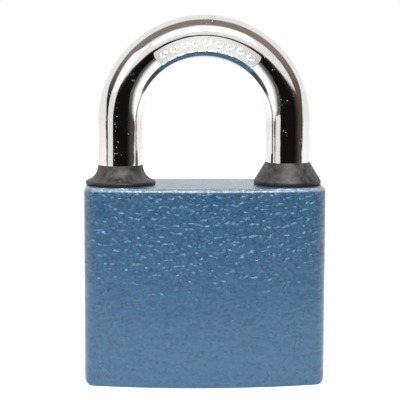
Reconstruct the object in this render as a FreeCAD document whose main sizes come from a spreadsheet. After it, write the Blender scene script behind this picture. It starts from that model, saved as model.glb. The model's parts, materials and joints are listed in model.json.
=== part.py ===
import FreeCAD, Part
import math
import operator
import os
import Sketcher
from types import SimpleNamespace
from FreeCAD import Placement, Rotation, Vector

# A key-retaining padlock with double ball locking and a five-pin cylinder.
# Millimetres. The origin is the middle of the base, +Z is up and the front is -Y.
# The heel leg, which stays in the case, is at -X and the toe leg is at +X.
# It is built closed, with the cylinder turned to its released position.

driving = {
    # case
    "caseWidth": 60,
    "caseHeight": 49.5,
    "caseDepth": 28,
    "caseBulge": 3.9,
    "caseCorner": 3.2,
    "topRound": 0.9,
    "footCorner": 2.1,
    "footEase": 0.15,
    "footRound": 0.4,
    # shackle
    "rodDiameter": 11,
    "legInset": 8.95,
    "clearHeight": 31.4,
    "legGap": 0.2,
    "heelDepth": 35,
    "toeDepth": 15.7,
    "heelFloorGap": 0.1,
    "toeFloorGap": 1.3,
    "legChamfer": 1,
    "shackleLift": 17,
    "bandWidth": 3.6,
    "bandDepth": 0.35,
    "bandStart": 48,
    "bandEnd": 128,
    # rubber seals round the legs
    "sealGap": 0.05,
    "sealLip": 0.8,
    "heelSealRim": 3.3,
    "heelSealTop": 0.15,
    "heelSealHeight": 4.8,
    "toeSealRim": 3,
    "toeSealTop": 0.15,
    "toeSealHeight": 5.5,
    # locking balls and cam
    "ballDrop": 10,
    "ballBite": 2.2,
    "legRelief": 0.15,
    "channelGap": 0.1,
    "lipWidth": 0.55,
    "lipPlay": 0.15,
    "camPocket": 6.35,
    "camGap": 0.05,
    "camRoom": 0.35,
    "camFloorGap": 0.2,
    "camRoofGap": 0.5,
    "roofGap": 0.2,
    # steel pins that hold the shackle and the cylinder in the case
    "holdPinDiameter": 3,
    "holdPinRecess": 0.3,
    "flutePlay": 0.1,
    "fluteDepth": 1.5,
    "fluteFloorGap": 0.4,
    "stopGap": 0.1,
    "cylinderPinBite": 4,
    "coverPinGap": 0.5,
    # cylinder shell
    "shellRecess": 0.4,
    "shellTail": 1,
    "shellWall": 3.1,
    "shellGap": 0.1,
    "bibleWidth": 8,
    "bibleDepth": 10.5,
    "chamberDiameter": 3,
    "chamberFirst": 4.6,
    "chamberPitch": 4,
    "coverWidth": 3.6,
    "coverThickness": 1.15,
    "coverGap": 0.05,
    "coverMargin": 0.5,
    # plug and its clip
    "plugRadius": 6,
    "plugGap": 0.05,
    "flangeStep": 0.8,
    "flangeThickness": 1.2,
    "clipThickness": 0.8,
    "clipPlay": 0.05,
    "clipSeatDepth": 1.1,
    "clipReach": 1,
    "clipMouth": 6,
    "shoulder": 0.45,
    "tangWidth": 3,
    "tangLength": 8,
    "tangHeight": 2.5,
    "keywayWidth": 2.2,
    "keywayFoot": 4.6,
    "keywayHead": 3.4,
    "keywayDepth": 23,
    "wardDepth": 0.7,
    "wardHeight": 1,
    # pins and springs
    "pinDiameter": 2.9,
    "pinInset": 0.2,
    "pinRest": 1.3,
    "pinFloorGap": 0.05,
    "pinNose": 0.9,
    "pinBevel": 0.15,
    "driverLength": 4,
    "driverLift": 0.03,
    "springWire": 0.4,
    "springPlay": 0.1,
}
pinLengths = {
    "pinLengthOne": 4.6,
    "pinLengthTwo": 6.4,
    "pinLengthThree": 5.2,
    "pinLengthFour": 5.8,
    "pinLengthFive": 4.9,
}
springTurns = 6
driving.update(pinLengths)

doc = FreeCAD.newDocument("padlock")
sheet = doc.addObject("Spreadsheet::Sheet", "Sizes")


class Size:
    """A number together with the sheet formula that gives it."""

    def __init__(self, formula, number):
        self.formula = formula
        self.number = number

    def __float__(self):
        return float(self.number)

    def __add__(self, other):
        return combine(self, "+", other)

    def __sub__(self, other):
        return combine(self, "-", other)

    def __mul__(self, other):
        return combine(self, "*", other)

    def __truediv__(self, other):
        return combine(self, "/", other)

    def __neg__(self):
        return combine(0, "-", self)


signs = {"+": operator.add, "-": operator.sub, "*": operator.mul, "/": operator.truediv}


def formulaOf(term):
    return term.formula if isinstance(term, Size) else str(term)


def combine(left, sign, right):
    formula = f"({formulaOf(left)} {sign} {formulaOf(right)})"
    return Size(formula, signs[sign](float(left), float(right)))


def root(term):
    return Size(f"sqrt({term.formula})", math.sqrt(term.number))


def larger(left, right):
    return Size(f"max({left.formula}; {right.formula})", max(left.number, right.number))


def polar(radius, degrees):
    angle = math.radians(degrees.number)
    across = Size(f"cos({degrees.formula})", math.cos(angle))
    up = Size(f"sin({degrees.formula})", math.sin(angle))
    return radius * across, radius * up


def fillSheet():
    for row, (alias, number) in enumerate(driving.items(), 1):
        sheet.set(f"A{row}", alias)
        sheet.set(f"B{row}", str(number))
        sheet.setAlias(f"B{row}", alias)
    doc.recompute()
    sizes = {alias: Size(f"Sizes.{alias}", number) for alias, number in driving.items()}
    return SimpleNamespace(**sizes)


s = fillSheet()


def chamberZ(n):
    return s.shellRecess + s.chamberFirst + s.chamberPitch * n


# Sizes that follow from the driving ones.
rodRadius = s.rodDiameter / 2
legX = s.caseWidth / 2 - s.legInset
legInner = legX - rodRadius
legHoleRadius = rodRadius + s.legGap
crownZ = s.caseHeight + s.clearHeight - legInner
heelEndZ = s.caseHeight - s.heelDepth
toeEndZ = s.caseHeight - s.toeDepth

ballRadius = (legInner - s.legRelief - s.camGap - s.camPocket) / 2
ballZ = s.caseHeight - s.ballDrop
releasedX = legInner - s.legRelief - ballRadius
ballTravel = s.legRelief + s.ballBite
lockedX = releasedX + ballTravel
channelRadius = ballRadius + s.channelGap

holdPinRadius = s.holdPinDiameter / 2
pinTipRadius = rodRadius - s.fluteDepth + s.fluteFloorGap
ringRadius = legX - lockedX
ringBite = ringRadius - pinTipRadius
ringHalfHeight = root(channelRadius * channelRadius - ringBite * ringBite)
shacklePinZ = ballZ - ringHalfHeight + holdPinRadius + s.stopGap

chamberRadius = s.chamberDiameter / 2
chamberCount = len(pinLengths)
coverTop = chamberZ(chamberCount - 1) + chamberRadius + s.coverMargin
cylinderPinZ = coverTop + s.coverPinGap + holdPinRadius
shellTop = cylinderPinZ + holdPinRadius + s.shellTail
shellLength = shellTop - s.shellRecess
shellRadius = s.plugRadius + s.shellWall
shellPocketRadius = shellRadius + s.shellGap
bibleReach = s.plugRadius + s.bibleDepth
camOuter = lockedX - ballRadius - s.camGap
cavityRadius = larger(shellPocketRadius, camOuter + s.camRoom)
cavityTop = ballZ + channelRadius + s.roofGap
cylinderPinTip = bibleReach - s.cylinderPinBite

boreRadius = s.plugRadius + s.plugGap
flangeRadius = s.plugRadius + s.flangeStep
coverFloor = bibleReach - s.coverThickness - s.coverGap
driverInner = s.plugRadius + s.driverLift
driverOuter = driverInner + s.driverLength
pinOuter = s.plugRadius - s.pinInset
clipSeat = s.plugRadius - s.clipSeatDepth
clipRadius = s.plugRadius + s.clipReach
clipBottom = shellTop + s.clipPlay * 2
plugTop = clipBottom + s.clipThickness + s.clipPlay + s.shoulder
camBottom = plugTop + s.camFloorGap
camTop = cavityTop - s.camRoofGap


# Sketch and feature helpers.
def bind(thing, name, size):
    thing.setExpression(name, formulaOf(size))


def newBody(label, turn=None):
    body = doc.addObject("PartDesign::Body", label)
    body.Label = label
    body.Placement = Placement(Vector(), turn or Rotation())
    return body


def placeAt(piece, x=0, y=0, z=0):
    for axis, size in zip("xyz", (x, y, z)):
        bind(piece, f"Placement.Base.{axis}", size)


def newSketch(body, name, role, x=0, y=0, level=0):
    """x, y and level are measured in the sketch's own directions."""
    sketch = body.newObject("Sketcher::SketchObject", name)
    plane = next(item for item in body.Origin.OriginFeatures if item.Role == role)
    sketch.AttachmentSupport = (plane, [""])
    sketch.MapMode = "FlatFace"
    for axis, size in zip("xyz", (x, y, level)):
        bind(sketch, f"AttachmentOffset.Base.{axis}", size)
    return sketch


def pin(sketch, kind, first, second, size):
    """Adds a dimension and ties it to the sheet."""
    number = sketch.addConstraint(Sketcher.Constraint(kind, *first, *second, float(size)))
    sketch.renameConstraint(number, f"size{number}")
    bind(sketch, f"Constraints.size{number}", size)


origin = (-1, 1)
acrossAxis = -1
upAxis = -2


def pinPoint(sketch, edge, end, x, y):
    """Ties a point's two coordinates to the sheet; a coordinate of 0 lies on the axis."""
    for kind, axis, size in (("DistanceX", upAxis, x), ("DistanceY", acrossAxis, y)):
        if isinstance(size, Size):
            pin(sketch, kind, origin, (edge, end), size)
        else:
            sketch.addConstraint(Sketcher.Constraint("PointOnObject", edge, end, axis))


def drawCircle(sketch, radius):
    edge = sketch.addGeometry(Part.Circle(Vector(), Vector(0, 0, 1), float(radius)))
    sketch.addConstraint(Sketcher.Constraint("Coincident", edge, 3, *origin))
    pin(sketch, "Radius", (edge,), (), radius)


def arcBetween(start, end, centre, turn):
    """An arc from start to end about centre, anticlockwise when turn is 1 and clockwise when it is -1."""
    begin = math.atan2(start.y - centre.y, start.x - centre.x)
    finish = math.atan2(end.y - centre.y, end.x - centre.x)
    middle = begin + turn * ((finish - begin) * turn % math.tau) / 2
    reach = (start - centre).Length
    return Part.Arc(start, centre + Vector(math.cos(middle), math.sin(middle), 0) * reach, end)


def drawOutline(sketch, corners, arcs=None, closed=True):
    """Edges from corner to corner: straight, or an arc where arcs gives (centre, turn) for that edge."""
    arcs = arcs or {}
    points = [Vector(float(x), float(y), 0) for x, y in corners]
    ends = {}
    for number in range(len(corners) if closed else len(corners) - 1):
        start = points[number]
        end = points[(number + 1) % len(points)]
        if number not in arcs:
            ends[number] = (sketch.addGeometry(Part.LineSegment(start, end)), 1, 2)
            continue
        (x, y), turn = arcs[number]
        edge = sketch.addGeometry(arcBetween(start, end, Vector(float(x), float(y), 0), turn))
        ends[number] = (edge, 1, 2) if turn == 1 else (edge, 2, 1)
    for number, (edge, first, last) in ends.items():
        pinPoint(sketch, edge, first, *corners[number])
        following = (number + 1) % len(points)
        if following in ends:
            sketch.addConstraint(Sketcher.Constraint("Coincident", edge, last, *ends[following][:2]))
        else:
            pinPoint(sketch, edge, last, *corners[following])
    for number, (centre, turn) in arcs.items():
        tieCentre(sketch, ends[number][0], points[(number + 1) % len(points)] - points[number], centre)


def tieCentre(sketch, edge, chord, centre):
    """With both ends tied, one coordinate of the centre settles an arc."""
    wide = abs(chord.x) >= abs(chord.y)
    kind, axis, size = ("DistanceY", acrossAxis, centre[1]) if wide else ("DistanceX", upAxis, centre[0])
    if isinstance(size, Size):
        pin(sketch, kind, origin, (edge, 3), size)
    else:
        sketch.addConstraint(Sketcher.Constraint("PointOnObject", edge, 3, axis))


def drawRectangle(sketch, width, height):
    """A rectangle about the sketch's own origin."""
    x = width / 2
    y = height / 2
    drawOutline(sketch, [(-x, -y), (x, -y), (x, y), (-x, y)])


def extrude(body, kind, sketch, length, reverse=False, bothWays=False):
    feature = body.newObject(f"PartDesign::{kind}", f"{sketch.Name}{kind}")
    feature.Profile = sketch
    feature.Reversed = reverse
    feature.SideType = "Symmetric" if bothWays else "One side"
    bind(feature, "Length", length)
    doc.recompute()
    return feature


def turnAbout(body, kind, sketch):
    """Turns a sketch about its own vertical axis."""
    feature = body.newObject(f"PartDesign::{kind}", f"{sketch.Name}{kind}")
    feature.Profile = sketch
    feature.ReferenceAxis = (sketch, ["V_Axis"])
    feature.Angle = 360
    doc.recompute()
    return feature


def dress(body, kind, feature, size, wanted):
    """Rounds or bevels the edges of feature that wanted picks."""
    names = [f"Edge{number}" for number, edge in enumerate(feature.Shape.Edges, 1) if wanted(edge)]
    dressing = body.newObject(f"PartDesign::{kind}", f"{feature.Name}{kind}")
    dressing.Base = (feature, names)
    bind(dressing, "Radius" if kind == "Fillet" else "Size", size)
    doc.recompute()
    return dressing


def drill(body, name, role, radius, depth, x=0, y=0, level=0, reverse=False, bothWays=False):
    sketch = newSketch(body, name, role, x, y, level)
    drawCircle(sketch, radius)
    return extrude(body, "Pocket", sketch, depth, reverse, bothWays)


def near(value, size):
    return abs(value - float(size)) < 1e-4


def flatAt(edge, z):
    return near(edge.BoundBox.ZMin, z) and near(edge.BoundBox.ZMax, z)


# Case.
def buildCase():
    body = newBody("case")
    blank = extrude(body, "Pad", drawCasePlan(body), s.caseHeight)
    corners = dress(body, "Fillet", blank, s.caseCorner, lambda edge: edge.BoundBox.ZLength > 1)
    top = dress(body, "Fillet", corners, s.topRound, lambda edge: flatAt(edge, s.caseHeight))
    dress(body, "Fillet", top, s.footRound, lambda edge: flatAt(edge, 0))
    for side in (-1, 1):
        cutFootCorner(body, side)
    cutLegHoles(body)
    cutBallChannel(body)
    cutCylinderPocket(body)
    cutPinHoles(body)


def drawCasePlan(body):
    sketch = newSketch(body, "casePlan", "XY_Plane")
    x = s.caseWidth / 2
    y = s.caseDepth / 2 - s.caseBulge
    faceRadius = (x * x + s.caseBulge * s.caseBulge) / (s.caseBulge * 2)
    centreY = faceRadius - s.caseDepth / 2
    arcs = {0: ((0, centreY), 1), 2: ((0, -centreY), 1)}
    drawOutline(sketch, [(-x, -y), (x, -y), (x, y), (-x, y)], arcs)
    return sketch


def cutFootCorner(body, side):
    """Rounds a lower corner of the case with an arc slightly flatter than a quarter circle."""
    sketch = newSketch(body, "footCornerLeft" if side < 0 else "footCornerRight", "XZ_Plane")
    edgeX = s.caseWidth / 2 * side
    arcX = edgeX - s.footCorner * side
    outX = edgeX + s.footCorner * side
    corners = [
        (arcX, 0), (edgeX, s.footCorner), (outX, s.footCorner),
        (outX, -s.footCorner), (arcX, -s.footCorner),
    ]
    centre = (arcX - s.footEase * side, s.footCorner + s.footEase)
    drawOutline(sketch, corners, {0: (centre, side)})
    extrude(body, "Pocket", sketch, s.caseDepth * 2, bothWays=True)


def cutLegHoles(body):
    heelDepth = s.heelDepth + s.heelFloorGap
    toeDepth = s.toeDepth + s.toeFloorGap
    drill(body, "heelHole", "XY_Plane", legHoleRadius, heelDepth, x=-legX, level=s.caseHeight)
    drill(body, "toeHole", "XY_Plane", legHoleRadius, toeDepth, x=legX, level=s.caseHeight)


def cutBallChannel(body):
    """The balls run in the channel, and the narrower lips at its ends keep them out of the leg holes."""
    lipX = legX - legHoleRadius - s.lipWidth
    reach = lipX - lockedX - s.lipPlay
    lipRadius = root(ballRadius * ballRadius - reach * reach)
    drill(body, "ballChannel", "YZ_Plane", channelRadius, lipX * 2, y=ballZ, bothWays=True)
    drill(body, "ballLips", "YZ_Plane", lipRadius, legX * 2, y=ballZ, bothWays=True)


def cutCylinderPocket(body):
    pocketDepth = shellTop + s.shellGap
    drill(body, "cylinderPocket", "XY_Plane", shellPocketRadius, pocketDepth, reverse=True)
    reach = bibleReach + s.shellGap
    sketch = newSketch(body, "biblePocket", "XY_Plane", x=reach / 2)
    drawRectangle(sketch, reach, s.bibleWidth + s.shellGap * 2)
    extrude(body, "Pocket", sketch, pocketDepth, reverse=True)
    cavityDepth = cavityTop - pocketDepth
    drill(body, "camCavity", "XY_Plane", cavityRadius, cavityDepth, level=pocketDepth, reverse=True)


def cutPinHoles(body):
    side = s.caseWidth / 2
    heelPinHole = newSketch(body, "heelPinHole", "YZ_Plane", y=shacklePinZ, level=-side)
    drawCircle(heelPinHole, holdPinRadius)
    extrude(body, "Pocket", heelPinHole, s.legInset, reverse=True)
    cylinderPinHole = newSketch(body, "cylinderPinHole", "YZ_Plane", y=cylinderPinZ, level=side)
    drawCircle(cylinderPinHole, holdPinRadius)
    extrude(body, "Pocket", cylinderPinHole, side - bibleReach + s.shellGap)


# Shackle and seals.
def buildShackle():
    body = newBody("shackle")
    path = newSketch(body, "shacklePath", "XZ_Plane")
    corners = [(-legX, heelEndZ), (-legX, crownZ), (legX, crownZ), (legX, toeEndZ)]
    drawOutline(path, corners, {1: ((0, crownZ), -1)}, closed=False)
    section = newSketch(body, "rodSection", "XY_Plane", x=-legX, level=heelEndZ)
    drawCircle(section, rodRadius)
    rod = body.newObject("PartDesign::AdditivePipe", "rod")
    rod.Profile = section
    rod.Spine = (path, ["Edge1", "Edge2", "Edge3"])
    doc.recompute()
    dress(body, "Chamfer", rod, s.legChamfer, lambda edge: flatAt(edge, heelEndZ) or flatAt(edge, toeEndZ))
    across = s.rodDiameter * 2
    for side, name in ((-1, "heelNotch"), (1, "toeNotch")):
        drill(body, name, "XZ_Plane", channelRadius, across, x=lockedX * side, y=ballZ, bothWays=True)
    cutSwivelRing(body)
    cutFlute(body)
    cutBand(body)


def cutSwivelRing(body):
    """Lifted, the heel leg turns with its ball running in this ring."""
    ringZ = ballZ - s.shackleLift
    sketch = newSketch(body, "swivelRing", "XZ_Plane", x=-legX, y=ringZ)
    lowest = -channelRadius
    corners = [(ringRadius, lowest), (ringRadius, channelRadius)]
    drawOutline(sketch, corners, {1: ((ringRadius, 0), 1)})
    turnAbout(body, "Groove", sketch)


def cutFlute(body):
    """The retaining pin rides in this flute as the shackle is lifted."""
    sketch = newSketch(body, "flute", "YZ_Plane", level=-(legX + rodRadius))
    half = holdPinRadius + s.flutePlay
    low = ballZ - s.shackleLift
    corners = [(-half, low), (half, low), (half, shacklePinZ), (-half, shacklePinZ)]
    drawOutline(sketch, corners, {2: ((0, shacklePinZ), 1)})
    extrude(body, "Pocket", sketch, s.fluteDepth, reverse=True)


def cutBand(body):
    """A shallow flat band with round ends, sunk in the front of the crown along the rod's middle line."""
    sketch = newSketch(body, "crownBand", "XZ_Plane", y=crownZ, level=rodRadius)
    outer = legX + s.bandWidth / 2
    inner = legX - s.bandWidth / 2
    corners = [
        polar(outer, s.bandStart), polar(outer, s.bandEnd),
        polar(inner, s.bandEnd), polar(inner, s.bandStart),
    ]
    startCentre = polar(legX, s.bandStart)
    endCentre = polar(legX, s.bandEnd)
    arcs = {0: ((0, 0), 1), 1: (endCentre, 1), 2: ((0, 0), -1), 3: (startCentre, 1)}
    drawOutline(sketch, corners, arcs)
    extrude(body, "Pocket", sketch, s.bandDepth)


def newSealSketch(body, name, side):
    return newSketch(body, name, "XZ_Plane", x=legX * side, y=s.caseHeight + s.sealGap)


def buildHeelSeal():
    """A flared collar: its wall curves from the rim up to the rod."""
    body = newBody("heel_seal")
    sketch = newSealSketch(body, "heelSealSection", -1)
    rim = rodRadius + s.heelSealRim
    top = rodRadius + s.heelSealTop
    across = rim - top
    up = s.heelSealHeight - s.sealLip
    flare = (across * across + up * up) / (across * 2)
    corners = [
        (rodRadius, 0), (rim, 0), (rim, s.sealLip),
        (top, s.heelSealHeight), (rodRadius, s.heelSealHeight),
    ]
    drawOutline(sketch, corners, {2: ((top + flare, s.heelSealHeight), -1)})
    turnAbout(body, "Revolution", sketch)


def buildToeSeal():
    """A plain conical collar."""
    body = newBody("toe_seal")
    sketch = newSealSketch(body, "toeSealSection", 1)
    rim = rodRadius + s.toeSealRim
    top = rodRadius + s.toeSealTop
    corners = [
        (rodRadius, 0), (rim, 0), (rim, s.sealLip),
        (top, s.toeSealHeight), (rodRadius, s.toeSealHeight),
    ]
    drawOutline(sketch, corners)
    turnAbout(body, "Revolution", sketch)


# Locking balls, cam and retaining pins.
def buildBall(label, side):
    ball = doc.addObject("Part::Sphere", label)
    ball.Label = label
    bind(ball, "Radius", ballRadius)
    placeAt(ball, x=releasedX * side, z=ballZ)


def camPoint(turned):
    """The cam's surface where it meets the ball after the plug has turned by this many radians."""
    rise = float(ballTravel) / (math.pi / 2)
    centre = float(releasedX) + rise * turned
    slope = math.hypot(centre, rise)
    offset = float(ballRadius) + float(s.camGap)
    out = centre - offset * centre / slope
    aside = offset * rise / slope
    return Vector(
        out * math.cos(turned) - aside * math.sin(turned),
        out * math.sin(turned) + aside * math.cos(turned),
        0,
    )


def camHalf():
    """Half of the cam's outline: a pocket for the released ball, a rise of a quarter turn, then a dwell."""
    start = Vector(float(releasedX), 0, 0)
    offset = float(ballRadius) + float(s.camGap)
    high = camPoint(math.pi / 2)
    dwell = high.Length
    spread = math.acos((start.x**2 + dwell**2 - offset**2) / (2 * start.x * dwell))
    mouth = Vector(dwell * math.cos(spread), -dwell * math.sin(spread), 0)
    floor = Vector(start.x - offset, 0, 0)
    steps = 9
    rise = Part.BSplineCurve()
    rise.interpolate([camPoint(math.pi / 2 * step / steps) for step in range(steps + 1)])
    highAngle = math.atan2(high.y, high.x)
    middle = (highAngle + math.pi - spread) / 2
    crest = Vector(dwell * math.cos(middle), dwell * math.sin(middle), 0)
    pocket = Part.Arc(mouth, floor, camPoint(0))
    top = Part.Arc(high, crest, Vector(-mouth.x, -mouth.y, 0))
    return [pocket.toShape(), rise.toShape(), top.toShape()]


def buildCam():
    """A two-lobed cam that turns with the plug and pushes both balls out at once."""
    half = camHalf()
    other = [edge.rotated(Vector(), Vector(0, 0, 1), 180) for edge in half]
    height = float(camTop - camBottom)
    blank = Part.Face(Part.Wire(half + other)).extrude(Vector(0, 0, height))
    width = float(s.tangWidth + s.camGap * 2)
    length = float(s.tangLength + s.camGap * 2)
    depth = float(s.tangHeight - s.camFloorGap + s.camGap)
    slot = Part.makeBox(length, width, depth, Vector(-length / 2, -width / 2, 0))
    cam = doc.addObject("Part::Feature", "locking_cam")
    cam.Label = "locking_cam"
    cam.Shape = blank.cut(slot)
    placeAt(cam, z=camBottom)


def buildHoldPin(label, length):
    """A plain steel pin along +X."""
    body = newBody(label, Rotation(Vector(0, 1, 0), 90))
    sketch = newSketch(body, f"{label}Section", "XY_Plane")
    drawCircle(sketch, holdPinRadius)
    rod = extrude(body, "Pad", sketch, length)
    dress(body, "Chamfer", rod, s.pinBevel, lambda edge: edge.BoundBox.ZLength < 1e-6)
    return body


def buildHoldPins():
    side = s.caseWidth / 2 - s.holdPinRecess
    tip = legX + pinTipRadius
    placeAt(buildHoldPin("shackle_retaining_pin", side - tip), x=-side, z=shacklePinZ)
    placeAt(buildHoldPin("cylinder_retaining_pin", side - cylinderPinTip), x=cylinderPinTip, z=cylinderPinZ)


# Cylinder.
def buildShell():
    body = newBody("cylinder_shell")
    barrel = newSketch(body, "shellBarrel", "XY_Plane", level=s.shellRecess)
    drawCircle(barrel, shellRadius)
    extrude(body, "Pad", barrel, shellLength)
    bible = newSketch(body, "bible", "XY_Plane", x=bibleReach / 2, level=s.shellRecess)
    drawRectangle(bible, bibleReach, s.bibleWidth)
    extrude(body, "Pad", bible, shellLength)
    drill(body, "plugBore", "XY_Plane", boreRadius, shellLength, level=shellTop)
    seat = s.flangeThickness + s.plugGap
    drill(body, "flangeSeat", "XY_Plane", flangeRadius + s.plugGap, seat, level=s.shellRecess, reverse=True)
    cutCoverSlot(body)
    cutShellChambers(body)
    depth = s.cylinderPinBite
    drill(body, "shellPinHole", "YZ_Plane", holdPinRadius, depth, y=cylinderPinZ, level=bibleReach)


def coverLength():
    return s.chamberPitch * (chamberCount - 1) + s.chamberDiameter + s.coverMargin * 2


def coverMiddle():
    return (chamberZ(0) + chamberZ(chamberCount - 1)) / 2


def cutCoverSlot(body):
    sketch = newSketch(body, "coverSlot", "YZ_Plane", y=coverMiddle(), level=bibleReach)
    drawRectangle(sketch, s.coverWidth, coverLength())
    extrude(body, "Pocket", sketch, s.coverThickness + s.coverGap)


def cutShellChambers(body):
    depth = coverFloor - s.plugRadius + chamberRadius
    chamber = drill(body, "shellChamber", "YZ_Plane", chamberRadius, depth, y=chamberZ(0), level=coverFloor)
    repeatUp(body, chamber)


def repeatUp(body, feature):
    """Repeats a chamber along the cylinder at the chamber pitch."""
    row = body.newObject("PartDesign::LinearPattern", f"{feature.Name}Row")
    row.Originals = [feature]
    axis = next(item for item in body.Origin.OriginFeatures if item.Role == "Z_Axis")
    row.Direction = (axis, [""])
    row.Occurrences = chamberCount
    bind(row, "Length", s.chamberPitch * (chamberCount - 1))
    body.Tip = row
    doc.recompute()


def buildCover():
    body = newBody("chamber_cover")
    sketch = newSketch(body, "coverPlan", "YZ_Plane", y=coverMiddle(), level=coverFloor)
    drawRectangle(sketch, s.coverWidth, coverLength())
    extrude(body, "Pad", sketch, s.coverThickness)


def buildPlug():
    """The plug's pin chambers face +Y here, a quarter turn from the driver chambers."""
    body = newBody("lock_plug")
    barrel = newSketch(body, "plugBarrel", "XY_Plane", level=s.shellRecess)
    drawCircle(barrel, s.plugRadius)
    extrude(body, "Pad", barrel, plugTop - s.shellRecess)
    flange = newSketch(body, "plugFlange", "XY_Plane", level=s.shellRecess)
    drawCircle(flange, flangeRadius)
    extrude(body, "Pad", flange, s.flangeThickness)
    tang = newSketch(body, "plugTang", "XY_Plane", level=plugTop)
    drawRectangle(tang, s.tangLength, s.tangWidth)
    extrude(body, "Pad", tang, s.tangHeight)
    cutClipGroove(body)
    cutKeyway(body)
    depth = s.plugRadius + s.pinRest + s.pinFloorGap
    level = -s.plugRadius
    chamber = drill(body, "plugChamber", "XZ_Plane", chamberRadius, depth, y=chamberZ(0), level=level, reverse=True)
    repeatUp(body, chamber)


def cutClipGroove(body):
    sketch = newSketch(body, "clipGroove", "XZ_Plane", y=clipBottom + s.clipThickness / 2)
    half = s.clipThickness / 2 + s.clipPlay
    out = s.plugRadius * 2
    drawOutline(sketch, [(clipSeat, -half), (out, -half), (out, half), (clipSeat, half)])
    turnAbout(body, "Groove", sketch)


def cutKeyway(body):
    """A slot with one ward on each side."""
    sketch = newSketch(body, "keyway", "XY_Plane", level=s.shellRecess)
    half = s.keywayWidth / 2
    inner = half - s.wardDepth
    foot = -s.keywayFoot
    lowWard = foot + s.wardHeight
    highWard = -s.pinRest - s.wardHeight / 2
    lowWardTop = lowWard + s.wardHeight
    highWardTop = highWard + s.wardHeight
    corners = [
        (-half, foot), (half, foot),
        (half, lowWard), (inner, lowWard), (inner, lowWardTop), (half, lowWardTop),
        (half, s.keywayHead), (-half, s.keywayHead),
        (-half, highWardTop), (-inner, highWardTop), (-inner, highWard), (-half, highWard),
    ]
    drawOutline(sketch, corners)
    extrude(body, "Pocket", sketch, s.keywayDepth, reverse=True)


def buildClip():
    body = newBody("plug_clip")
    ring = newSketch(body, "clipRing", "XY_Plane", level=clipBottom)
    drawCircle(ring, clipRadius)
    drawCircle(ring, clipSeat + s.clipPlay * 2)
    extrude(body, "Pad", ring, s.clipThickness)
    mouth = newSketch(body, "clipMouth", "XY_Plane", y=-clipRadius / 2, level=clipBottom)
    drawRectangle(mouth, s.clipMouth, clipRadius)
    extrude(body, "Pocket", mouth, s.clipThickness, reverse=True)


def buildBottomPins():
    """Pins in the plug, with a bevelled head at the shear line and a pointed nose towards the key."""
    for n, alias in enumerate(pinLengths):
        length = getattr(s, alias)
        body = newBody(f"bottom_pin_{n + 1}", Rotation(Vector(1, 0, 0), -90))
        sketch = newSketch(body, f"bottomPinSection{n + 1}", "XZ_Plane")
        radius = s.pinDiameter / 2
        corners = [
            (0, 0), (radius - s.pinNose, 0), (radius, s.pinNose), (radius, length - s.pinBevel),
            (radius - s.pinBevel, length), (0, length),
        ]
        drawOutline(sketch, corners)
        turnAbout(body, "Revolution", sketch)
        placeAt(body, y=pinOuter - length, z=chamberZ(n))


def buildDriverPins():
    for n in range(chamberCount):
        body = newBody(f"driver_pin_{n + 1}", Rotation(Vector(0, 1, 0), 90))
        sketch = newSketch(body, f"driverPinSection{n + 1}", "XY_Plane")
        drawCircle(sketch, s.pinDiameter / 2)
        rod = extrude(body, "Pad", sketch, s.driverLength)
        dress(body, "Chamfer", rod, s.pinBevel, lambda edge: edge.BoundBox.ZLength < 1e-6)
        placeAt(body, x=driverInner, z=chamberZ(n))


def springShape():
    """A round-wire coil along +Z between the driver pin and the cover."""
    wire = float(s.springWire)
    length = float(coverFloor - driverOuter) - wire
    radius = float(chamberRadius) - float(s.springPlay) - wire / 2
    coil = Part.Wire(Part.makeHelix(length / springTurns, length, radius).Edges)
    ring = Part.Wire(Part.Circle(Vector(radius, 0, 0), Vector(0, 1, 0), wire / 2).toShape())
    return coil.makePipeShell([ring], True, True)


def buildSprings():
    shape = springShape()
    for n in range(chamberCount):
        spring = doc.addObject("Part::Feature", f"driver_spring_{n + 1}")
        spring.Label = f"driver_spring_{n + 1}"
        spring.Shape = shape
        spring.Placement = Placement(Vector(), Rotation(Vector(0, 1, 0), 90))
        placeAt(spring, x=driverOuter + s.springWire / 2, z=chamberZ(n))


def subParts():
    kinds = ("PartDesign::Body", "Part::Feature", "Part::Sphere")
    return [item for item in doc.Objects if item.TypeId in kinds]


def checkModel():
    for item in doc.Objects:
        if "Invalid" in item.State or "Error" in item.State:
            raise RuntimeError(f"{item.Name} failed: {item.State}")
        if item.TypeId in ("PartDesign::Pocket", "PartDesign::Groove"):
            if item.Shape.Volume > item.BaseFeature.Shape.Volume - 1e-3:
                raise RuntimeError(f"{item.Name} cuts nothing")
    for piece in subParts():
        if piece.Shape.isNull() or not piece.Shape.isValid():
            raise RuntimeError(f"{piece.Label} has no valid shape")
        if len(piece.Shape.Solids) != 1:
            raise RuntimeError(f"{piece.Label} has {len(piece.Shape.Solids)} solids")


def writeParts():
    os.makedirs("parts", exist_ok=True)
    for piece in subParts():
        piece.Shape.exportStep(f"parts/{piece.Label}.step")
        box = piece.Shape.BoundBox
        print(f"{piece.Label}: {box.XLength:.2f} x {box.YLength:.2f} x {box.ZLength:.2f} mm")


buildCase()
buildShackle()
buildHeelSeal()
buildToeSeal()
buildBall("heel_ball", -1)
buildBall("toe_ball", 1)
buildCam()
buildHoldPins()
buildShell()
buildCover()
buildPlug()
buildClip()
buildBottomPins()
buildDriverPins()
buildSprings()
doc.recompute()
checkModel()
writeParts()
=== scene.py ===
import json
import math
import bmesh
import bpy
from mathutils import Matrix, Vector


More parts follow.
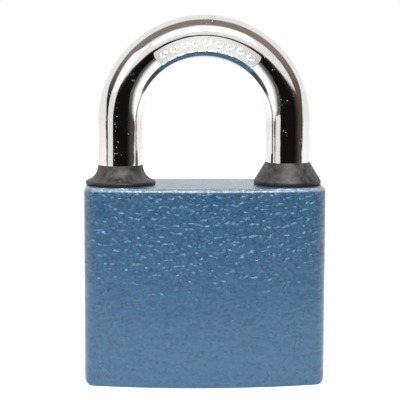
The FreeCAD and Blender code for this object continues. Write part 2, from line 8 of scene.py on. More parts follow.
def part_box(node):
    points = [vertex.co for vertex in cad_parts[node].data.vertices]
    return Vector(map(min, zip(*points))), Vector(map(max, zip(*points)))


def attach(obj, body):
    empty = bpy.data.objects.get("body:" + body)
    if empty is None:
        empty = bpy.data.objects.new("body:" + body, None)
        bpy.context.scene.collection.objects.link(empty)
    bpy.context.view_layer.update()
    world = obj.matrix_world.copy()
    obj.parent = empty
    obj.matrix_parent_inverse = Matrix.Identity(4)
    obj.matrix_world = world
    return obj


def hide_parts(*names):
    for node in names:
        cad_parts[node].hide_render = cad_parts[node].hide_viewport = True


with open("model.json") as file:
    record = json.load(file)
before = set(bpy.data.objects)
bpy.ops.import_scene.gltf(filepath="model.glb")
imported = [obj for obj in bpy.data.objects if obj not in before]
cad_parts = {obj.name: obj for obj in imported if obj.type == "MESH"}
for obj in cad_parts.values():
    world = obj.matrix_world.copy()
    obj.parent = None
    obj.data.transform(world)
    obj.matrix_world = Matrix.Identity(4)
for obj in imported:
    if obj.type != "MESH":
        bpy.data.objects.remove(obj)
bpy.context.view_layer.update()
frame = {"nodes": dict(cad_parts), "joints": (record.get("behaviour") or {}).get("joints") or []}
nodes = frame["nodes"]
scene = bpy.context.scene
mm = 0.001
near = 0.01 * mm  # points closer than this count as the same place


# Small helpers for selecting and finishing a piece.
def focusOn(piece):
    if bpy.context.object and bpy.context.object.mode != "OBJECT":
        bpy.ops.object.mode_set(mode="OBJECT")
    bpy.ops.object.select_all(action="DESELECT")
    piece.select_set(True)
    bpy.context.view_layer.objects.active = piece


def clearSelection():
    if bpy.context.object and bpy.context.object.mode != "OBJECT":
        bpy.ops.object.mode_set(mode="OBJECT")
    bpy.ops.object.select_all(action="DESELECT")


def pick(piece, kind, wanted):
    # leaves the piece in edit mode with only the wanted parts selected
    if bpy.context.object.mode != "EDIT":
        bpy.ops.object.mode_set(mode="EDIT")
    bpy.ops.mesh.select_mode(type=kind)
    bpy.ops.mesh.select_all(action="DESELECT")
    mesh = bmesh.from_edit_mesh(piece.data)
    parts = {"VERT": mesh.verts, "EDGE": mesh.edges, "FACE": mesh.faces}[kind]
    parts.ensure_lookup_table()
    for part in parts:
        if wanted(part):
            part.select_set(True)
    mesh.select_flush_mode()
    bmesh.update_edit_mesh(piece.data)


def added(name):
    # the primitive that was just added, with its place moved into its mesh
    piece = bpy.context.object
    piece.name = piece.data.name = name
    bpy.ops.object.transform_apply(location=True, rotation=True, scale=True)
    return piece


def addBlock(name, low, high):
    clearSelection()
    middle = (Vector(low) + Vector(high)) / 2
    bpy.ops.mesh.primitive_cube_add(size=1, location=middle, scale=Vector(high) - Vector(low))
    return added(name)


def addRod(name, radius, start, end, sides=64):
    clearSelection()
    start, end = Vector(start), Vector(end)
    turn = (end - start).to_track_quat("Z", "Y").to_euler()
    bpy.ops.mesh.primitive_cylinder_add(
        vertices=sides, radius=radius, depth=(end - start).length, location=(start + end) / 2, rotation=turn
    )
    return added(name)


def applyModifier(piece, kind, **settings):
    focusOn(piece)
    modifier = piece.modifiers.new(kind, kind)
    for name, value in settings.items():
        setattr(modifier, name, value)
    bpy.ops.object.modifier_apply(modifier=modifier.name)


def cut(piece, cutter):
    applyModifier(piece, "BOOLEAN", operation="DIFFERENCE", solver="EXACT", object=cutter)
    bpy.data.objects.remove(cutter, do_unlink=True)


def tidyShading(piece, degrees):
    focusOn(piece)
    bpy.ops.object.shade_smooth_by_angle(angle=math.radians(degrees))
    applyModifier(piece, "WEIGHTED_NORMAL", keep_sharp=True, weight=60)


def repairNormals(piece):
    focusOn(piece)
    bpy.ops.object.mode_set(mode="EDIT")
    bpy.ops.mesh.select_all(action="SELECT")
    bpy.ops.mesh.remove_doubles(threshold=0.002 * mm)
    bpy.ops.mesh.normals_make_consistent(inside=False)
    bpy.ops.object.mode_set(mode="OBJECT")


def extrudeBy(x, y, z):
    bpy.ops.mesh.extrude_region_move(TRANSFORM_OT_translate={"value": (x, y, z)})


def middleOf(node):
    low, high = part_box(node)
    return (low + high) / 2


# Shader building: Signal does the maths, Finish holds one material.
class Signal:
    def __init__(self, finish, socket):
        self.finish = finish
        self.socket = socket

    def __add__(self, other):
        return self.finish.maths("ADD", self, other)

    def __sub__(self, other):
        return self.finish.maths("SUBTRACT", self, other)

    def __mul__(self, other):
        return self.finish.maths("MULTIPLY", self, other)

    def __rsub__(self, other):
        return self.finish.maths("SUBTRACT", other, self)

    __radd__ = __add__
    __rmul__ = __mul__


class Finish:
    def __init__(self, name, tree=None):
        if tree is None:
            self.material = bpy.data.materials.new(name)
            self.material.use_nodes = True
            tree = self.material.node_tree
            self.shader = tree.nodes["Principled BSDF"]
        self.tree = tree

    def feed(self, socket, value):
        if isinstance(value, Signal):
            self.tree.links.new(value.socket, socket)
        elif isinstance(value, bpy.types.NodeSocket):
            self.tree.links.new(value, socket)
        else:
            socket.default_value = value

    def add(self, kind, settings=None, sockets=None):
        node = self.tree.nodes.new(f"ShaderNode{kind}")
        for name, value in (settings or {}).items():
            setattr(node, name, value)
        for name, value in (sockets or {}).items():
            self.feed(node.inputs[name], value)
        return node

    def maths(self, operation, left, right):
        node = self.add("Math", {"operation": operation}, {0: left, 1: right})
        return Signal(self, node.outputs[0])

    def blend(self, factor, first, second):
        node = self.add("Mix", {"data_type": "RGBA"}, {0: factor, 6: first, 7: second})
        return Signal(self, node.outputs[2])

    def spread(self, value, low, high, start=0.0, end=1.0):
        # a smooth step from start to end as value goes from low to high
        sockets = {0: value, 1: low, 2: high, 3: start, 4: end}
        node = self.add("MapRange", {"interpolation_type": "SMOOTHSTEP"}, sockets)
        return Signal(self, node.outputs[0])

    def place(self):
        # position on the piece, in millimetres
        where = self.add("TexCoord").outputs["Object"]
        return self.add("VectorMath", {"operation": "SCALE"}, {0: where, "Scale": 1000.0}).outputs[0]

    def noise(self, where, size, detail=2.0, roughness=0.5):
        sockets = {"Vector": where, "Scale": 1 / size, "Detail": detail, "Roughness": roughness}
        return Signal(self, self.add("TexNoise", None, sockets).outputs[0])

    def cells(self, where, size, feature="F1"):
        sockets = {"Vector": where, "Scale": 1 / size}
        return Signal(self, self.add("TexVoronoi", {"feature": feature}, sockets).outputs["Distance"])

    def stretch(self, where, x, y, z):
        return self.add("VectorMath", {"operation": "MULTIPLY"}, {0: where, 1: (x, y, z)}).outputs[0]

    def warp(self, where, size, reach):
        sockets = {"Vector": where, "Scale": 1 / size, "Detail": 1.0}
        push = self.add("TexNoise", None, sockets).outputs["Color"]
        middle = (0.5, 0.5, 0.5)
        centred = self.add("VectorMath", {"operation": "SUBTRACT"}, {0: push, 1: middle}).outputs[0]
        scaled = self.add("VectorMath", {"operation": "SCALE"}, {0: centred, "Scale": reach}).outputs[0]
        return self.add("VectorMath", {"operation": "ADD"}, {0: where, 1: scaled}).outputs[0]

    def bump(self, height, depth):
        # depth in millimetres is how far a height of 1 stands out
        node = self.add("Bump", None, {"Height": height, "Distance": depth * mm, "Strength": 1.0})
        self.set({"Normal": node.outputs[0]})

    def set(self, sockets):
        for name, value in sockets.items():
            self.feed(self.shader.inputs[name], value)


# Finishes.
hammerSizes = {
    "cell": 1.5,             # mm across one pebble of the hammer finish
    "squash": 1.3,           # how much wider than tall a pebble is
    "relief": 0.80,          # mm
    "waverSize": 1.6,        # mm, of the drift that bends the pebbles' outlines, and its reach
    "waverReach": 1.0,
    "boldFrom": (24, 42),    # mm up the case over which the relief grows from calm to full
    "boldWaver": 12.0,
    "calm": 0.35,
    "seamWidth": (0.02, 0.17),
    "seamDepth": 0.30,       # how much of veinColour shows in a seam, and in a fleck
    "fleckDepth": 0.62,
    "veinColour": (0.010, 0.050, 0.110, 1),
    # colour of the painted highlight along the rounded top edge
    "edgeColour": (0.33, 0.41, 0.47, 1),
    "edgeBand": (1.15, 0.55, 0.14, 0.03),  # mm below the top face: the painted highlight along the rounded top edge starts, fills, fades, stops
    "darkColour": (0.018, 0.096, 0.208, 1),
    "lightColour": (0.025, 0.118, 0.232, 1),
}


def hammerPaint():
    finish = Finish("hammerPaint")
    flat = finish.place()
    squashed = finish.stretch(flat, 1.0, 1.0, hammerSizes["squash"])
    where = finish.warp(squashed, hammerSizes["waverSize"], hammerSizes["waverReach"])
    cell = hammerSizes["cell"]
    seam = finish.cells(where, cell, "DISTANCE_TO_EDGE")
    soft = finish.cells(where, cell, "SMOOTH_F1")
    lumps = finish.noise(where, cell * 1.5, 1.0)
    patchy = finish.noise(where, cell * 2.2, 2.0, 0.6)
    fine = finish.noise(where, 0.35, 2.0)
    climb = Signal(finish, finish.add("SeparateXYZ", None, {0: flat}).outputs[2])
    rise = climb + patchy * hammerSizes["boldWaver"]
    bold = finish.spread(rise, *hammerSizes["boldFrom"], hammerSizes["calm"], 1.0)
    # a lighter band just under the top face: painted highlight of the rounded top edge
    starts, full, fades, stops = (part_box("case")[1].z / mm - drop for drop in hammerSizes["edgeBand"])
    edge = finish.spread(climb, starts, full) * finish.spread(climb, fades, stops, 1.0, 0.0)
    crease = finish.spread(seam, *hammerSizes["seamWidth"], 1.0, 0.0)
    broken = finish.spread(finish.noise(where, 0.9, 1.0), 0.46, 0.56)
    fleck = crease * broken * finish.spread(patchy, 0.42, 0.54)
    body = finish.blend(
        finish.spread(lumps * 0.5 + patchy * 0.3 + fine * 0.2, 0.35, 0.65),
        hammerSizes["darkColour"], hammerSizes["lightColour"],
    )
    vein = crease * bold * hammerSizes["seamDepth"] + fleck * hammerSizes["fleckDepth"]
    paint = finish.blend(vein, body, hammerSizes["veinColour"])
    # the painted edge highlight, broken up by patchy noise, is blended into the base colour
    paintedEdgeHighlight = edge * finish.spread(patchy, 0.30, 0.55, 0.55, 0.9)
    finish.set({
        "Base Color": finish.blend(paintedEdgeHighlight, paint, hammerSizes["edgeColour"]),
        "Metallic": 0.25,
        "Roughness": finish.spread(patchy, 0.3, 0.7, 0.30, 0.42),
        "Coat Weight": 1.0,
        "Coat Roughness": 0.27,
        "Coat IOR": 1.55,
        "Specular IOR Level": 0.5,
    })
    height = (lumps * 0.9 - soft * soft * 1.1) * bold + fine * 0.03 - fleck * 0.05
    finish.bump(height, hammerSizes["relief"])
    return finish.material


chromeSizes = {
    "darkColour": (0.88, 0.87, 0.85, 1),
    "lightColour": (0.93, 0.92, 0.91, 1),
    "pitSpacing": 0.55,      # mm
    "relief": 0.05,
}


def chromePlate():
    finish = Finish("chromePlate")
    where = finish.place()
    pits = finish.cells(where, chromeSizes["pitSpacing"])
    patch = finish.noise(where, 3.0, 3.0)
    speck = finish.spread(pits, 0.06, 0.16, 1.0, 0.0) * finish.spread(patch, 0.5, 0.66)
    tint = finish.noise(where, 9.0, 2.0)
    finish.set({
        "Base Color": finish.blend(tint, chromeSizes["darkColour"], chromeSizes["lightColour"]),
        "Metallic": 1.0,
        "Roughness": finish.spread(patch, 0.35, 0.75, 0.035, 0.10) + speck * 0.35,
    })
    wave = finish.noise(where, 4.5, 1.0)
    finish.bump(wave + finish.noise(where, 0.5, 1.0) * 0.04 + speck * 0.5, chromeSizes["relief"])
    return finish.material


rubberSizes = {
    "darkColour": (0.020, 0.018, 0.017, 1),
    "dustColour": (0.085, 0.076, 0.069, 1),
    "cleanFoot": (0.35, 1.3),  # mm up from the foot over which the lighter dust patches begin; the seal is darker along its foot
    "relief": 0.05,
}


def sealRubber():
    finish = Finish("sealRubber")
    where = finish.place()
    dust = finish.noise(where, 1.6, 4.0, 0.65)
    grain = finish.noise(where, 0.22, 2.0)
    height = Signal(finish, finish.add("SeparateXYZ", None, {0: where}).outputs[2])
    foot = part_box("heel_seal")[0].z / mm
    # the seal stays darker along its foot, and the lighter dust patches start above it
    aboveFoot = finish.spread(height, *(foot + rise for rise in rubberSizes["cleanFoot"]))
    dustiness = finish.spread(dust, 0.35, 0.7) * aboveFoot
    finish.set({
        "Base Color": finish.blend(dustiness, rubberSizes["darkColour"], rubberSizes["dustColour"]),
        "Roughness": finish.spread(dust, 0.3, 0.7, 0.36, 0.55),
        "Specular IOR Level": 0.55,
    })
    finish.bump(grain * 0.5 + dust, rubberSizes["relief"])
    return finish.material


def machinedMetal(name, dark, light, roughness, grainAlong=(1.0, 1.0, 0.06), relief=0.008):
    # turned or drawn metal: fine lines along one direction, with a faint stain
    finish = Finish(name)
    where = finish.place()
    lines = finish.noise(finish.stretch(where, *grainAlong), 0.16, 3.0, 0.6)
    stain = finish.noise(where, 3.2, 3.0, 0.6)
    finish.set({
        "Base Color": finish.blend(finish.spread(stain * 0.7 + lines * 0.3, 0.3, 0.7), dark, light),
        "Metallic": 1.0,
        "Roughness": lines * 0.16 + stain * 0.12 + (roughness - 0.14),
    })
    finish.bump(lines, relief)
    return finish.material


metalSizes = {
    "brassDark": (0.55, 0.36, 0.12, 1),
    "brassLight": (0.80, 0.60, 0.27, 1),
    "plugDark": (0.62, 0.43, 0.16, 1),
    "plugLight": (0.86, 0.68, 0.33, 1),
    "steelDark": (0.34, 0.34, 0.35, 1),
    "steelLight": (0.56, 0.56, 0.57, 1),
    "ballDark": (0.58, 0.58, 0.59, 1),
    "ballLight": (0.72, 0.72, 0.73, 1),
    "springDark": (0.30, 0.29, 0.28, 1),
    "springLight": (0.52, 0.50, 0.47, 1),
}


def finishNodes():
    sizes = metalSizes
    across = (0.06, 1.0, 1.0)
    shell = machinedMetal("cylinderBrass", sizes["brassDark"], sizes["brassLight"], 0.34)
    plug = machinedMetal("plugBrass", sizes["plugDark"], sizes["plugLight"], 0.28)
    pinBrass = machinedMetal("pinBrass", sizes["plugDark"], sizes["plugLight"], 0.22, (1.0, 0.06, 1.0))
    steel = machinedMetal("hardenedSteel", sizes["steelDark"], sizes["steelLight"], 0.36, across)
    driver = machinedMetal("driverSteel", sizes["steelDark"], sizes["steelLight"], 0.26, across)
    ball = machinedMetal("ballSteel", sizes["ballDark"], sizes["ballLight"], 0.16, (1.0, 1.0, 1.0), 0.002)
    even = (1.0, 1.0, 1.0)
    spring = machinedMetal("springSteel", sizes["springDark"], sizes["springLight"], 0.30, even, 0.004)
    for name, node in nodes.items():
        if name.startswith("bottom_pin"):
            finish = pinBrass
        elif name.startswith("driver_pin"):
            finish = driver
        elif name.startswith("driver_spring"):
            finish = spring
        elif name.endswith("_ball"):
            finish = ball
        elif name == "lock_plug":
            finish = plug
        elif name in ("cylinder_shell", "chamber_cover"):
            finish = shell
        else:
            finish = steel
        node.data.materials.clear()
        node.data.materials.append(finish)


# Case.
caseSizes = {
    "slices": 18,
    "bulge": 3.9,          # mm that each face stands out at the middle
    "cornerBevel": 2.81,
    "cornerSteps": 8,
    "topRound": 1.05,
    "footRound": 0.3,
    "footCorner": 2.1,
    "footSteps": 7,
    "legGap": 0.2,
    "shellGap": 0.1,
    "channelGap": 0.1,     # round the locking balls
    "channelRoof": 0.2,
    "lipWidth": 0.55,
    "lipPlay": 0.15,
    "holeBevel": 0.25,
}


def buildCase():
    low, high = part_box("case")
    case = addBlock("paintedCase", low, high)
    pick(case, "EDGE", lambda edge: abs(edge.verts[0].co.x - edge.verts[1].co.x) > mm)
    bpy.ops.mesh.subdivide(number_cuts=caseSizes["slices"] - 1)
    bulgeFaces(case, high)
    roundCase(case, low, high)
    cutLegHoles(case, high)
    cutCylinderPocket(case, low)
    cutBallChannel(case)
    cutPinHoles(case, high)
    tidyShading(case, 40)
    return case


def bulgeFaces(case, high):
    bulge = caseSizes["bulge"] * mm
    faceRadius = (high.x**2 + bulge**2) / (2 * bulge)
    for step in range(caseSizes["slices"] + 1):
        x = high.x * (2 * step / caseSizes["slices"] - 1)
        inset = faceRadius - math.sqrt(faceRadius**2 - x**2)
        pick(case, "VERT", lambda vert: abs(vert.co.x - x) < near)
        narrowed = (high.y - inset) / high.y
        bpy.ops.transform.resize(value=(1, narrowed, 1), center_override=(0, 0, 0))


def roundCase(case, low, high):
    def upright(edge):
        ends = [vert.co for vert in edge.verts]
        atSide = all(abs(abs(end.x) - high.x) < near for end in ends)
        return atSide and abs(ends[0].z - ends[1].z) > mm

    def rimAt(z):
        return lambda edge: (
            all(abs(vert.co.z - z) < near for vert in edge.verts)
            and sum(abs(face.normal.z) > 0.9 for face in edge.link_faces) == 1
        )

    pick(case, "EDGE", upright)
    corner = caseSizes["cornerBevel"] * mm
    bpy.ops.mesh.bevel(offset=corner, segments=caseSizes["cornerSteps"], affect="EDGES")
    pick(case, "EDGE", rimAt(high.z))
    bpy.ops.mesh.bevel(offset=caseSizes["topRound"] * mm, segments=4, affect="EDGES")
    pick(case, "EDGE", rimAt(low.z))
    bpy.ops.mesh.bevel(offset=caseSizes["footRound"] * mm, segments=2, affect="EDGES")
    radius = caseSizes["footCorner"] * mm
    for side in (-1, 1):
        for step in range(caseSizes["footSteps"]):
            angle = (step + 0.5) / caseSizes["footSteps"] * math.pi / 2
            out = Vector((side * math.cos(angle), 0, -math.sin(angle)))
            touch = Vector((side * (high.x - radius), 0, low.z + radius)) + out * radius
            bpy.ops.mesh.select_all(action="SELECT")
            bpy.ops.mesh.bisect(plane_co=touch, plane_no=out, use_fill=True, clear_outer=True)
    bpy.ops.object.mode_set(mode="OBJECT")


def cutLegHoles(case, high):
    gap = caseSizes["legGap"] * mm
    shackleLow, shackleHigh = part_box("shackle")
    radius = shackleHigh.y + gap
    for seal, floor in (("heel_seal", shackleLow.z), ("toe_seal", toeEnd())):
        x = middleOf(seal).x
        cut(case, addRod("legHole", radius, (x, 0, floor - gap), (x, 0, high.z + mm)))

        def rim(edge):
            return all(
                abs(vert.co.z - high.z) < near
                and abs(math.hypot(vert.co.x - x, vert.co.y) - radius) < 2 * near
                for vert in edge.verts
            )

        focusOn(case)
        pick(case, "EDGE", rim)
        bpy.ops.mesh.bevel(offset=caseSizes["holeBevel"] * mm, segments=2, affect="EDGES")
        bpy.ops.object.mode_set(mode="OBJECT")


def toeEnd():
    # the lowest point of the shackle's short leg
    side = middleOf("toe_seal").x
    return min(vert.co.z for vert in nodes["shackle"].data.vertices if vert.co.x > side / 2)


def cutCylinderPocket(case, low):
    gap = caseSizes["shellGap"] * mm
    shellLow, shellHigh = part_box("cylinder_shell")
    bible = [vert.co for vert in nodes["cylinder_shell"].data.vertices if vert.co.x > shellHigh.x - near]
    half = max(abs(point.y) for point in bible)
    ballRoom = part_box("toe_ball")[1].z + (caseSizes["channelGap"] + caseSizes["channelRoof"]) * mm
    cut(case, addRod("pocket", shellHigh.y + gap, (0, 0, low.z - mm), (0, 0, ballRoom)))
    corner = (shellHigh.x + gap, half + gap, shellHigh.z + gap)
    cut(case, addBlock("biblePocket", (0, -half - gap, low.z - mm), corner))


def lockedBall():
    # how far out the balls stand when locked
    travel = next(joint for joint in frame["joints"] if joint["name"] == "heel_ball_slide")["range_m"][1]
    return middleOf("toe_ball").x + travel


def cutBallChannel(case):
    # the bore that the balls slide in, with narrower lips where it opens into the leg holes
    ball = middleOf("toe_ball")
    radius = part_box("toe_ball")[1].y
    legX = middleOf("toe_seal").x
    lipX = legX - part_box("shackle")[1].y - (caseSizes["legGap"] + caseSizes["lipWidth"]) * mm
    reach = lipX - lockedBall() - caseSizes["lipPlay"] * mm
    channel = radius + caseSizes["channelGap"] * mm
    cut(case, addRod("ballChannel", channel, (-lipX, 0, ball.z), (lipX, 0, ball.z)))
    cut(case, addRod("ballLips", math.sqrt(radius**2 - reach**2), (-legX, 0, ball.z), (legX, 0, ball.z)))


def cutPinHoles(case, high):
    pinLow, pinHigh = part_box("shackle_retaining_pin")
    for name, side in (("shackle_retaining_pin", -1), ("cylinder_retaining_pin", 1)):
        middle = middleOf(name)
        radius = (pinHigh.z - pinLow.z) / 2
        end = middleOf("heel_seal").x if side < 0 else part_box("cylinder_shell")[1].x
        cut(case, addRod("pinHole", radius, (side * (high.x + mm), 0, middle.z), (end, 0, middle.z), 40))


# Shackle.
shackleSizes = {
    "sides": 72,
    "bendSteps": 72,
    "endBevel": 1.0,
    "play": 0.1,
    "fluteDepth": 1.5,
    "flutePlay": 0.1,
    "bandWidth": 3.7,
    "bandInset": 1.6,      # from the rod's middle line towards the inside of the bend
    "bandSink": 0.12,      # how far the flat floor lies below its two edges
    "bandStart": 48,       # degrees round the crown, from the toe side
    "bandEnd": 128,
    "lift": 17,
    "bandMargin": 6.5,
    "marks": 9,
    "markSize": 1.4,
    "markWall": 0.55,
    "markHeight": 0.42,
    "markRound": 0.2,
}


def buildShackle():
    low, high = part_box("shackle")
    rod = high.y
    legX = middleOf("toe_seal").x
    crownZ = high.z - rod - legX
    clearSelection()
    bpy.ops.mesh.primitive_circle_add(
        vertices=shackleSizes["sides"], radius=rod, fill_type="NOTHING", location=(-legX, 0, low.z)
    )
    shackle = added("chromeShackle")
    pick(shackle, "EDGE", lambda edge: True)
    extrudeBy(0, 0, crownZ - low.z)
    bpy.ops.mesh.spin(
        steps=shackleSizes["bendSteps"], angle=-math.pi, center=(0, 0, crownZ), axis=(0, 1, 0)
    )
    extrudeBy(0, 0, toeEnd() - crownZ)
    for z in (low.z, toeEnd()):
        pick(shackle, "EDGE", lambda edge: edge.is_boundary and abs(edge.verts[0].co.z - z) < near)
        bpy.ops.mesh.edge_face_add()
    pick(shackle, "EDGE", lambda edge: any(len(face.verts) > 4 for face in edge.link_faces))
    bpy.ops.mesh.bevel(offset=shackleSizes["endBevel"] * mm, segments=2, affect="EDGES")
    repairNormals(shackle)
    cutNotches(shackle, legX, rod)
    cutFlute(shackle, legX, rod)
    cutBand(shackle, legX, rod, crownZ)
    tidyShading(shackle, 35)
    return shackle, buildMarks(legX, rod, crownZ)


def cutNotches(shackle, legX, rod):
    play = shackleSizes["play"] * mm
    ball = middleOf("toe_ball")
    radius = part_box("toe_ball")[1].y + play
    locked = lockedBall()
    for side in (-1, 1):
        x = side * locked
        cut(shackle, addRod("notch", radius, (x, -2 * rod, ball.z), (x, 2 * rod, ball.z)))
    clearSelection()
    bpy.ops.mesh.primitive_torus_add(
        major_radius=legX - locked, minor_radius=radius, major_segments=72, minor_segments=48,
        location=(-legX, 0, ball.z - shackleSizes["lift"] * mm),
    )
    cut(shackle, added("swivelRing"))


def cutFlute(shackle, legX, rod):
    pin = middleOf("shackle_retaining_pin")
    pinLow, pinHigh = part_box("shackle_retaining_pin")
    half = (pinHigh.z - pinLow.z) / 2 + shackleSizes["flutePlay"] * mm
    outer = -(legX + rod)
    bottom = middleOf("heel_ball").z - shackleSizes["lift"] * mm
    inner = outer + shackleSizes["fluteDepth"] * mm
    flute = addBlock("flute", (outer - mm, -half, bottom), (inner, half, pin.z + half))
    pick(flute, "EDGE", lambda edge: all(vert.co.z > pin.z for vert in edge.verts)
         and abs(edge.verts[0].co.x - edge.verts[1].co.x) > mm)
    bpy.ops.mesh.bevel(offset=half * 0.999, segments=10, affect="EDGES")
    cut(shackle, flute)


def bandEdges(legX, rod):
    # where the flat band's floor meets the rod: distance from the bend's axis, and y
    middle = legX - shackleSizes["bandInset"] * mm
    half = shackleSizes["bandWidth"] / 2 * mm
    return [(reach, -math.sqrt(rod**2 - (reach - legX) ** 2)) for reach in (middle + half, middle - half)]


def cutBand(shackle, legX, rod, crownZ):
    (outer, outerY), (inner, innerY) = bandEdges(legX, rod)
    sink = shackleSizes["bandSink"] * mm
    start, end = (math.radians(shackleSizes[name]) for name in ("bandStart", "bandEnd"))
    clearSelection()
    bpy.ops.mesh.primitive_plane_add(size=outer - inner, location=((outer + inner) / 2, -rod - mm, crownZ))
    band = added("band")
    for reach, floor in ((outer, outerY + sink), (inner, innerY + sink)):
        for deep in (True, False):
            def corner(vert):
                return abs(vert.co.x - reach) < near and (vert.co.y > -rod - mm) == deep

            pick(band, "VERT", corner)
            y = next(vert.co.y for vert in bmesh.from_edit_mesh(band.data).verts if vert.select)
            bpy.ops.transform.translate(value=(0, (floor if deep else -2 * rod) - y, 0))
    bpy.ops.object.mode_set(mode="OBJECT")
    about = Matrix.Translation((0, 0, crownZ))
    band.data.transform(about @ Matrix.Rotation(-start, 4, "Y") @ about.inverted())
    pick(band, "FACE", lambda face: True)
    bpy.ops.mesh.spin(steps=40, angle=end - start, center=(0, 0, crownZ), axis=(0, 1, 0))
    pick(band, "EDGE", lambda edge: edge.is_boundary)
    bpy.ops.mesh.fill_holes(sides=0)
    bpy.ops.object.mode_set(mode="OBJECT")
    repairNormals(band)
    pick(band, "EDGE", lambda edge: atBandEnd(edge, start, end, crownZ))
    bpy.ops.mesh.bevel(offset=(outer - inner) * 0.45, segments=8, affect="EDGES")
    bpy.ops.object.mode_set(mode="OBJECT")
    cut(shackle, band)


def atBandEnd(edge, start, end, crownZ):
    # an edge that runs from front to back at either end of the band
    first, second = (vert.co for vert in edge.verts)
    if math.hypot(first.x - second.x, first.z - second.z) > near:
        return False
    angle = math.atan2(first.z - crownZ, first.x)
    return min(abs(angle - start), abs(angle - end)) < 0.01


def buildMarks(legX, rod, crownZ):
    # a row of plain raised lozenges on the band, one modelled and the rest copied
    sizes = shackleSizes
    (outer, outerY), (inner, innerY) = bandEdges(legX, rod)
    lean = math.atan2(innerY - outerY, outer - inner)
    height = sizes["markHeight"] * mm
    clearSelection()
    bpy.ops.mesh.primitive_cylinder_add(
        vertices=4, radius=sizes["markSize"] * mm, depth=2 * height, end_fill_type="NOTHING",
        rotation=(math.pi / 2, 0, 0),
    )
    marks = added("crownMarks")
    pick(marks, "EDGE", lambda edge: True)
    applyModifier(marks, "SOLIDIFY", thickness=sizes["markWall"] * mm, offset=-1, use_even_offset=True)
    repairNormals(marks)
    width = sizes["markRound"] * mm
    applyModifier(marks, "BEVEL", width=width, segments=4, limit_method="ANGLE", angle_limit=0.8)
    marks.data.transform(Matrix.Rotation(-lean, 4, "X"))
    master = marks.data.copy()
    pieces = []
    margin = sizes["bandMargin"]
    step = (sizes["bandEnd"] - sizes["bandStart"] - 2 * margin) / (sizes["marks"] - 1)
    for number in range(sizes["marks"]):
        piece = marks if number == 0 else marks.copy()
        if number:
            piece.data = master.copy()
            scene.collection.objects.link(piece)
        turn = math.radians(90 - sizes["bandStart"] - margin - step * number)
        spot = Matrix.Translation((0, (outerY + innerY) / 2 + sizes["bandSink"] * mm, (outer + inner) / 2))
        piece.data.transform(Matrix.Translation((0, 0, crownZ)) @ Matrix.Rotation(turn, 4, "Y") @ spot)
        pieces.append(piece)
    focusOn(marks)
    for piece in pieces:
        piece.select_set(True)
    bpy.ops.object.join()
    tidyShading(marks, 50)
    return marks


# Rubber seals round the legs.
sealSizes = {
    "sides": 72,
    "lip": 0.8,
    "lipRound": 0.2,
    "flareSteps": 9,
    "topWall": 0.15,
}


def buildSeal(name, node, flared):
    low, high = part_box(node)
    centre = (low + high) / 2
    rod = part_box("shackle")[1].y
    rim = high.y
    top = rod + sealSizes["topWall"] * mm
    lip = sealSizes["lip"] * mm
    climb = high.z - low.z - lip
    clearSelection()
    bpy.ops.mesh.primitive_circle_add(
        vertices=sealSizes["sides"], radius=rim, fill_type="NOTHING", location=(centre.x, 0, low.z)
    )
    seal = added(name)
    pick(seal, "EDGE", lambda edge: True)
    flare = ((rim - top) ** 2 + climb**2) / (2 * (rim - top))
    radius = growRing(rim, rim, lip, centre)
    for step in range(1, sealSizes["flareSteps"] + 1):
        up = climb * step / sealSizes["flareSteps"]
        if flared:
            wanted = top + flare - math.sqrt(max(flare**2 - (climb - up) ** 2, 0))
        else:
            wanted = rim + (top - rim) * step / sealSizes["flareSteps"]
        radius = growRing(radius, wanted, climb / sealSizes["flareSteps"], centre)
    radius = growRing(radius, rod, 0, centre)
    growRing(radius, rod, low.z - high.z, centre)
    pick(seal, "EDGE", lambda edge: edge.is_boundary)
    bpy.ops.mesh.bridge_edge_loops()
    repairNormals(seal)

    def lipEdge(edge):
        return all(
            abs(math.hypot(vert.co.x - centre.x, vert.co.y) - rim) < near for vert in edge.verts
        ) and abs(edge.verts[0].co.z - edge.verts[1].co.z) < near

    pick(seal, "EDGE", lipEdge)
    bpy.ops.mesh.bevel(offset=sealSizes["lipRound"] * mm, segments=3, affect="EDGES")
    tidyShading(seal, 40)
    return seal


def growRing(radius, wanted, up, centre):
    extrudeBy(0, 0, up)
    factor = wanted / radius
    bpy.ops.transform.resize(value=(factor, factor, 1), center_override=(centre.x, 0, 0))
    return wanted


# Studio.
studioSizes = {
    "cameraPlace": (-14.09, -388.17, 90.01),
    "cameraTilt": 6.56,
    "cameraPan": 1.93,
    "cameraRoll": 0.16,
    "lens": 139.2,
    "floorLow": (-1200, -300),
    "floorFade": (-0.22, -0.05),
    "floorHigh": (1200, 900),
    "backdropLight": (0.86, 0.86, 0.85, 1),
    "beltLight": (0.85, 0.84, 0.83, 1),
    "overheadLight": (0.25, 0.20, 0.17, 1),
    "rightLight": (0.085, 0.070, 0.052, 1),
    "frontDark": (0.007, 0.006, 0.005, 1),
    "floorColour": (0.9, 0.9, 0.9, 1),
    "floorDark": (0.02, 0.02, 0.02, 1),
    "floorGlow": (0.26, 0.26, 0.26, 1),    # what the floor adds for the object
    "floorSeen": (0.7, 0.7, 0.7, 1),       # and for the camera
    "frontPlace": (0.05, -0.75, 0.78),     # m
    "frontPower": 9.8,
    "leftPlace": (-0.250, -0.172, 0.16),
    "leftPower": 0.13,
}
black = (0, 0, 0, 1)


def addCamera():
    camera = bpy.data.objects.new("camera", bpy.data.cameras.new("camera"))
    scene.collection.objects.link(camera)
    camera.data.sensor_width = 36
    camera.data.lens = studioSizes["lens"]
    camera.data.clip_start = 0.01
    camera.data.clip_end = 20
    tilt = Matrix.Rotation(math.radians(90 - studioSizes["cameraTilt"]), 4, "X")
    pan = Matrix.Rotation(-math.radians(studioSizes["cameraPan"]), 4, "Z")
    roll = Matrix.Rotation(math.radians(studioSizes["cameraRoll"]), 4, "Z")
    camera.matrix_world = Matrix.Translation(Vector(studioSizes["cameraPlace"]) * mm) @ pan @ tilt @ roll
    scene.camera = camera


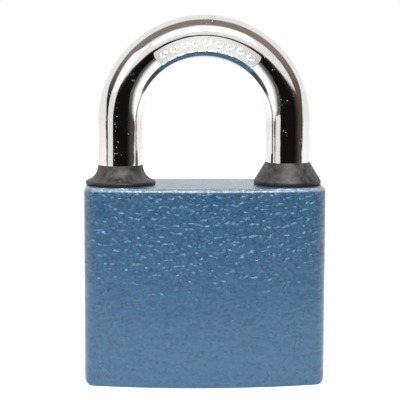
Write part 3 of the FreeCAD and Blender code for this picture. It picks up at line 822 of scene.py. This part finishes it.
def addFloor():
    clearSelection()
    bpy.ops.mesh.primitive_plane_add(size=1)
    floor = bpy.context.object
    floor.name = "floor"
    low, high = (Vector(studioSizes[name]).to_3d() * mm for name in ("floorLow", "floorHigh"))
    floor.location = (low + high) / 2
    floor.scale = (high.x - low.x, high.y - low.y, 1)
    finish = Finish("paleFloor")
    seen = finish.add("LightPath").outputs["Is Camera Ray"]
    where = finish.add("NewGeometry").outputs["Position"]
    away = Signal(finish, finish.add("SeparateXYZ", None, {0: where}).outputs[1])
    behind = finish.spread(away, *studioSizes["floorFade"])
    white = studioSizes["floorColour"]
    bounce = finish.blend(behind, studioSizes["floorDark"], white)
    glow = finish.blend(behind, black, studioSizes["floorGlow"])
    finish.set({
        "Base Color": finish.blend(seen, bounce, white),
        "Roughness": 0.8,
        "Emission Color": finish.blend(seen, glow, studioSizes["floorSeen"]),
        "Emission Strength": 1.0,
    })
    floor.data.materials.append(finish.material)


def addSoftbox(name, place, target, width, height, power):
    light = bpy.data.lights.new(name, "AREA")
    light.shape = "RECTANGLE"
    light.size, light.size_y = width, height
    light.energy = power
    box = bpy.data.objects.new(name, light)
    scene.collection.objects.link(box)
    box.location = place
    box.rotation_euler = (Vector(target) - Vector(place)).to_track_quat("-Z", "Y").to_euler()
    box.visible_camera = False


def addWorld():
    # bright behind, a bright belt above the front, warm grey overhead and a dark front,
    # so that polished rods show bands
    world = bpy.data.worlds.new("studio")
    world.use_nodes = True
    scene.world = world
    finish = Finish("studio", world.node_tree)
    background = world.node_tree.nodes["Background"]
    direction = finish.add("TexCoord").outputs["Generated"]
    parts = finish.add("SeparateXYZ", None, {0: direction})
    away, up = Signal(finish, parts.outputs[1]), Signal(finish, parts.outputs[2])
    aside = Signal(finish, parts.outputs[0])
    belt = finish.spread(up, 0.18, 0.27) * finish.spread(away, -0.50, -0.40, 1.0, 0.0)
    toRight = finish.spread(aside, 0.55, 0.95)
    light = finish.blend(toRight, studioSizes["frontDark"], studioSizes["rightLight"])
    light = finish.blend(finish.spread(up, 0.05, 0.75), light, studioSizes["overheadLight"])
    light = finish.blend(belt, light, studioSizes["beltLight"])
    low = finish.spread(up, 0.0, 0.34, 0.40, 0.0)
    light = finish.blend(finish.spread(away + low, 0.15, 0.33), light, studioSizes["backdropLight"])
    seen = finish.add("LightPath").outputs["Is Camera Ray"]
    finish.feed(background.inputs["Color"], finish.blend(seen, light, (1, 1, 1, 1)))


def addStudio():
    addCamera()
    addFloor()
    addWorld()
    sizes = studioSizes
    addSoftbox("frontSoftbox", sizes["frontPlace"], (0, 0, 0.04), 0.9, 0.36, sizes["frontPower"])
    addSoftbox("leftSoftbox", sizes["leftPlace"], (0, 0, 0.08), 0.17, 0.30, sizes["leftPower"])
    scene.view_settings.view_transform = "Standard"
    scene.view_settings.look = "None"


print("stage: finishes of the packed pieces")
finishNodes()

print("stage: case")
paintedCase = buildCase()
paintedCase.data.materials.append(hammerPaint())
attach(paintedCase, "case")
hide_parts("case")

print("stage: shackle")
chrome = chromePlate()
chromeShackle, crownMarks = buildShackle()
for piece in (chromeShackle, crownMarks):
    piece.data.materials.append(chrome)
    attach(piece, "shackle")
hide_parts("shackle")

print("stage: seals")
rubber = sealRubber()
for name, node, flared in (("heelSeal", "heel_seal", True), ("toeSeal", "toe_seal", False)):
    seal = buildSeal(name, node, flared)
    seal.data.materials.append(rubber)
    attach(seal, "shackle")
    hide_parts(node)

print("stage: studio")
addStudio()
